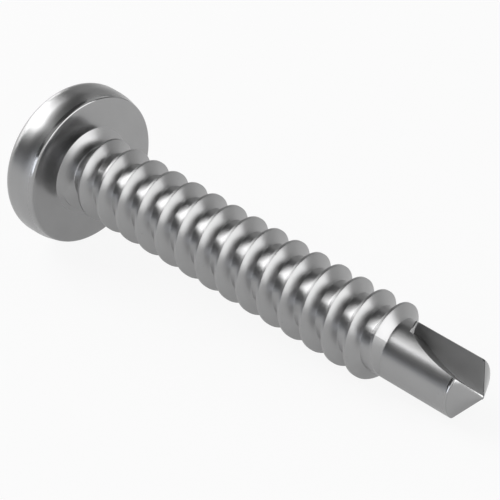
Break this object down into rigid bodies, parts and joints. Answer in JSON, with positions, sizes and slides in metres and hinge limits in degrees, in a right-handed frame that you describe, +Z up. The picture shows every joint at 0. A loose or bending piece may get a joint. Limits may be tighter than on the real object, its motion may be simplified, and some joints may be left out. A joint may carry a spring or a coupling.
{
  "type": "self drilling screw",
  "caption": "Pan head self drilling screw: cross recess in the head, a cone under it, thread along most of the shank and a fluted drill point.",
  "frame": {"origin": "on the floor, under the middle of the box around the lying screw", "axes": "+X along the screw from the head to the drill point, which lies lower; +Z up; the screw rests on the rim of its head and on the crest of its last turn"},
  "size_m": [0.0334, 0.0094, 0.0095],
  "materials": {
    "steel": "smooth and bright"
  },
  "bodies": {
    "root": {"screw": "steel"}
  },
  "joints": []
}
